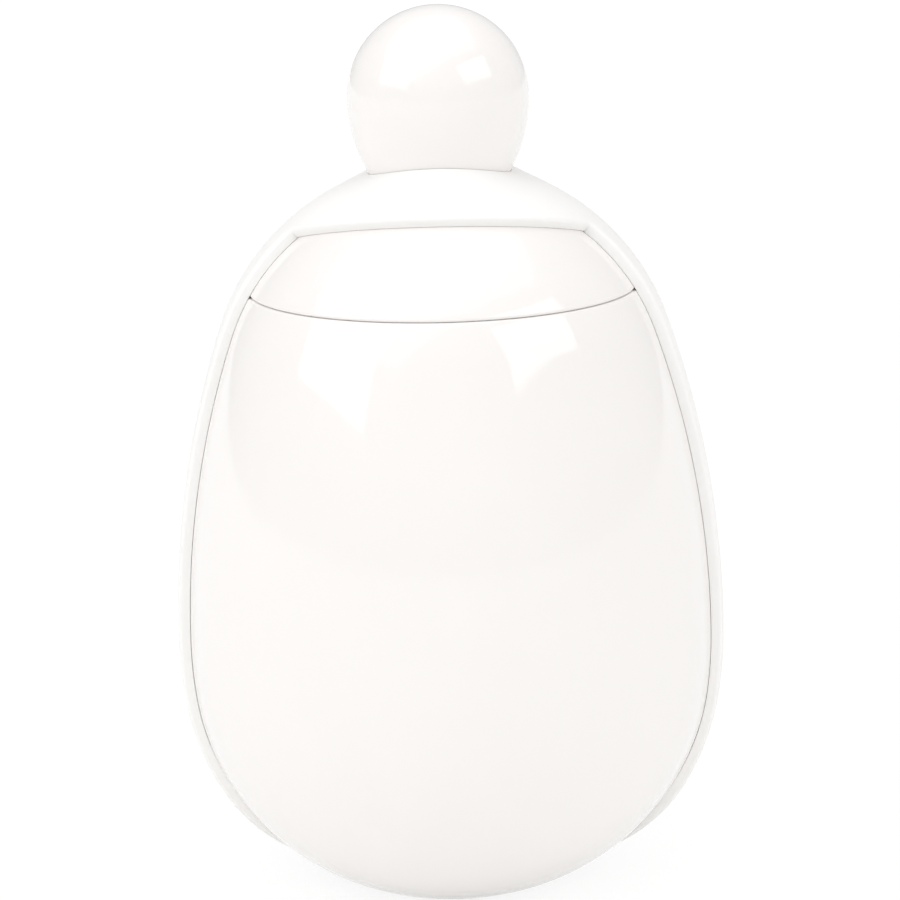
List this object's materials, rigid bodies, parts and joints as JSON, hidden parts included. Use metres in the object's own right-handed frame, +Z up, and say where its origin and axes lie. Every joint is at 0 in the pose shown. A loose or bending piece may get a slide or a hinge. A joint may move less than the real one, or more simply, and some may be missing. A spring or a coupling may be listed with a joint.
{
  "type": "egg coddler",
  "caption": "Egg-shaped lidded porcelain cup with a ball knob, held shut by a white silicone strap over the lid and under the foot.",
  "frame": {"origin": "centre of the foot's underside, on the axis of the cup", "axes": "+Z up along the cup's axis, the strap's two arms on -X and +X, front towards -Y"},
  "size_m": [0.0688, 0.066, 0.1106],
  "materials": {
    "glazed_porcelain": "clear gloss glaze over warm white porcelain",
    "silicone": "satin white moulded silicone"
  },
  "bodies": {
    "cup": {"cup": "glazed_porcelain"},
    "strap": {"silicone_strap": "silicone"},
    "lid": {"lid": "glazed_porcelain"}
  },
  "joints": [
    {"name": "lid_lift", "type": "slide", "parent": "cup", "child": "strap", "axis": [0, 0, 1], "range_m": [0, 0.018], "stiffness_N_per_m": 550, "springref_m": -0.005, "deforming": ["silicone_strap"]},
    {"name": "lid_turn", "type": "hinge", "parent": "strap", "child": "lid", "pos_m": [0, 0, 0.0756], "axis": [0, 0, 1], "continuous": true}
  ]
}
